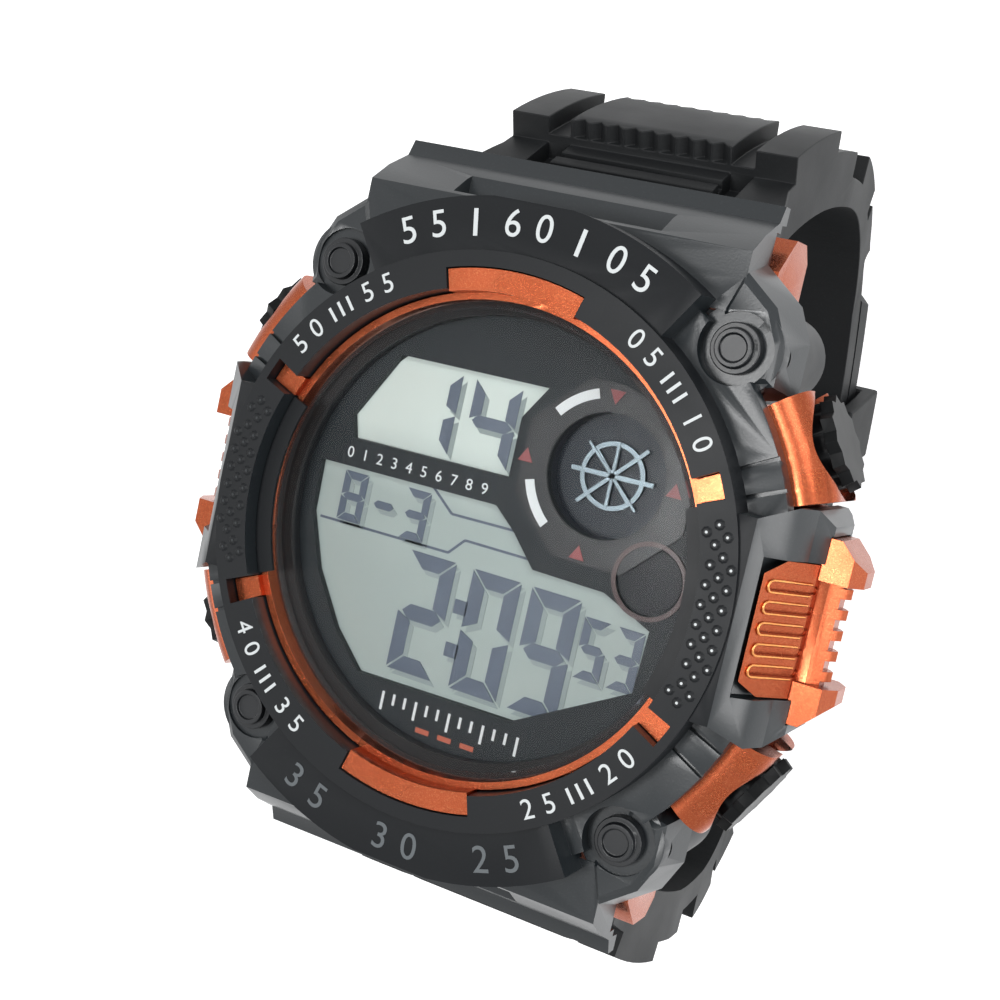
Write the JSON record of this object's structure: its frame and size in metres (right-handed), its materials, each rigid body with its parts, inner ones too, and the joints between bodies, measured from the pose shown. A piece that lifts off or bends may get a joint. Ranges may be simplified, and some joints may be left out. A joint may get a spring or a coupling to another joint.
{
  "type": "digital sports watch",
  "caption": "Round resin digital sports watch with raised dark bezel, copper-plated guards and grips, side push buttons, LCD dial and a closed resin strap with buckle.",
  "frame": {"origin": "centre of the flat wrist face of the case back", "axes": "+Z out through the dial, +Y to 12 o'clock, +X to 3 o'clock"},
  "size_m": [0.0562, 0.0756, 0.0672],
  "materials": {
    "bezel_resin": "satin dark grey resin with a fine metallic grain",
    "copper_plate": "satin copper-orange metal plating on resin",
    "screw_black": "satin black",
    "button_black": "satin black",
    "crystal_clear": "clear, polished, bevelled rim",
    "seal_rubber": "matt black",
    "dial_print": "dark grey print",
    "subdial_black": "black",
    "wheel_steel": "dull steel",
    "display_film": "grey-green reflective film under polished glass",
    "light_guide": "milky white",
    "contact_rubber": "layered pink and black",
    "module_plastic": "moulded grey",
    "board_green": "solder mask",
    "chip_black": "potting resin",
    "can_steel": "bright can",
    "lamp_amber": "moulded lamp",
    "cell_steel": "nickel-plated",
    "spring_steel": "bright stainless",
    "buzzer_brass": "bright disc",
    "back_steel": "circular brushed stainless",
    "strap_resin": "matt black resin",
    "buckle_steel": "satin stainless"
  },
  "bodies": {
    "case": {"case_frame": "copper_plate", "bezel_shell": "bezel_resin", "side_grip_right": "copper_plate", "side_grip_left": "copper_plate", "bezel_screws": "screw_black", "crystal": "crystal_clear", "crystal_gasket": "seal_rubber", "dial_plate": "dial_print", "subdial_cup": "subdial_black", "subdial_wheel": "wheel_steel", "lcd_glass": "display_film", "light_panel": "light_guide", "contact_strips": "contact_rubber", "module_frame": "module_plastic", "circuit_board": "board_green", "processor_chip": "chip_black", "quartz_crystal": "can_steel", "light_lamp": "lamp_amber", "coin_cell": "cell_steel", "cell_clamp": "spring_steel", "buzzer": "buzzer_brass", "case_back": "back_steel", "back_gasket": "seal_rubber", "back_screws": "can_steel", "lug_pin_upper": "spring_steel", "lug_pin_lower": "spring_steel", "button_spring_2_oclock": "spring_steel", "button_spring_10_oclock": "spring_steel", "button_spring_8_oclock": "spring_steel", "button_spring_4_oclock": "spring_steel"},
    "button_2_oclock": {"button_2_oclock": "button_black", "button_seal_2_oclock": "seal_rubber", "button_clip_2_oclock": "spring_steel"},
    "button_10_oclock": {"button_10_oclock": "button_black", "button_seal_10_oclock": "seal_rubber", "button_clip_10_oclock": "spring_steel"},
    "button_8_oclock": {"button_8_oclock": "button_black", "button_seal_8_oclock": "seal_rubber", "button_clip_8_oclock": "spring_steel"},
    "button_4_oclock": {"button_4_oclock": "button_black", "button_seal_4_oclock": "seal_rubber", "button_clip_4_oclock": "spring_steel"},
    "strap_upper": {"strap_upper": "strap_resin", "buckle_pin": "spring_steel"},
    "strap_lower": {"strap_lower": "strap_resin"},
    "strap_keeper": {"strap_keeper": "strap_resin"},
    "buckle_frame": {"buckle_frame": "buckle_steel"},
    "buckle_tongue": {"buckle_tongue": "buckle_steel"}
  },
  "joints": [
    {"name": "press_2_oclock", "type": "slide", "parent": "case", "child": "button_2_oclock", "axis": [-0.8729, -0.4879, 0], "range_m": [0, 0.001], "stiffness_N_per_m": 1500, "springref_m": -0.001, "deforming": ["button_spring_2_oclock"]},
    {"name": "press_10_oclock", "type": "slide", "parent": "case", "child": "button_10_oclock", "axis": [0.8729, -0.4879, 0], "range_m": [0, 0.001], "stiffness_N_per_m": 1500, "springref_m": -0.001, "deforming": ["button_spring_10_oclock"]},
    {"name": "press_8_oclock", "type": "slide", "parent": "case", "child": "button_8_oclock", "axis": [0.8729, 0.4879, 0], "range_m": [0, 0.001], "stiffness_N_per_m": 1500, "springref_m": -0.001, "deforming": ["button_spring_8_oclock"]},
    {"name": "press_4_oclock", "type": "slide", "parent": "case", "child": "button_4_oclock", "axis": [-0.8729, 0.4879, 0], "range_m": [0, 0.001], "stiffness_N_per_m": 1500, "springref_m": -0.001, "deforming": ["button_spring_4_oclock"]},
    {"name": "strap_upper_hinge", "type": "hinge", "parent": "case", "child": "strap_upper", "pos_m": [0, 0.0242, 0.004], "axis": [1, 0, 0], "range_deg": [0, 12]},
    {"name": "strap_lower_hinge", "type": "hinge", "parent": "case", "child": "strap_lower", "pos_m": [0, -0.0242, 0.004], "axis": [-1, 0, 0], "range_deg": [0, 12]},
    {"name": "keeper_slide", "type": "hinge", "parent": "strap_upper", "child": "strap_keeper", "pos_m": [0, 0, 0.006], "axis": [1, 0, 0], "range_deg": [-3, 3]},
    {"name": "buckle_frame_hinge", "type": "hinge", "parent": "strap_upper", "child": "buckle_frame", "pos_m": [0, 0, -0.0447], "axis": [1, 0, 0], "range_deg": [0, 15]},
    {"name": "buckle_tongue_hinge", "type": "hinge", "parent": "strap_upper", "child": "buckle_tongue", "pos_m": [0, 0, -0.0447], "axis": [1, 0, 0], "range_deg": [-35, 0]}
  ],
  "couplings": [
    {"joint": "strap_lower_hinge", "follows": "strap_upper_hinge", "ratio": 1}
  ]
}
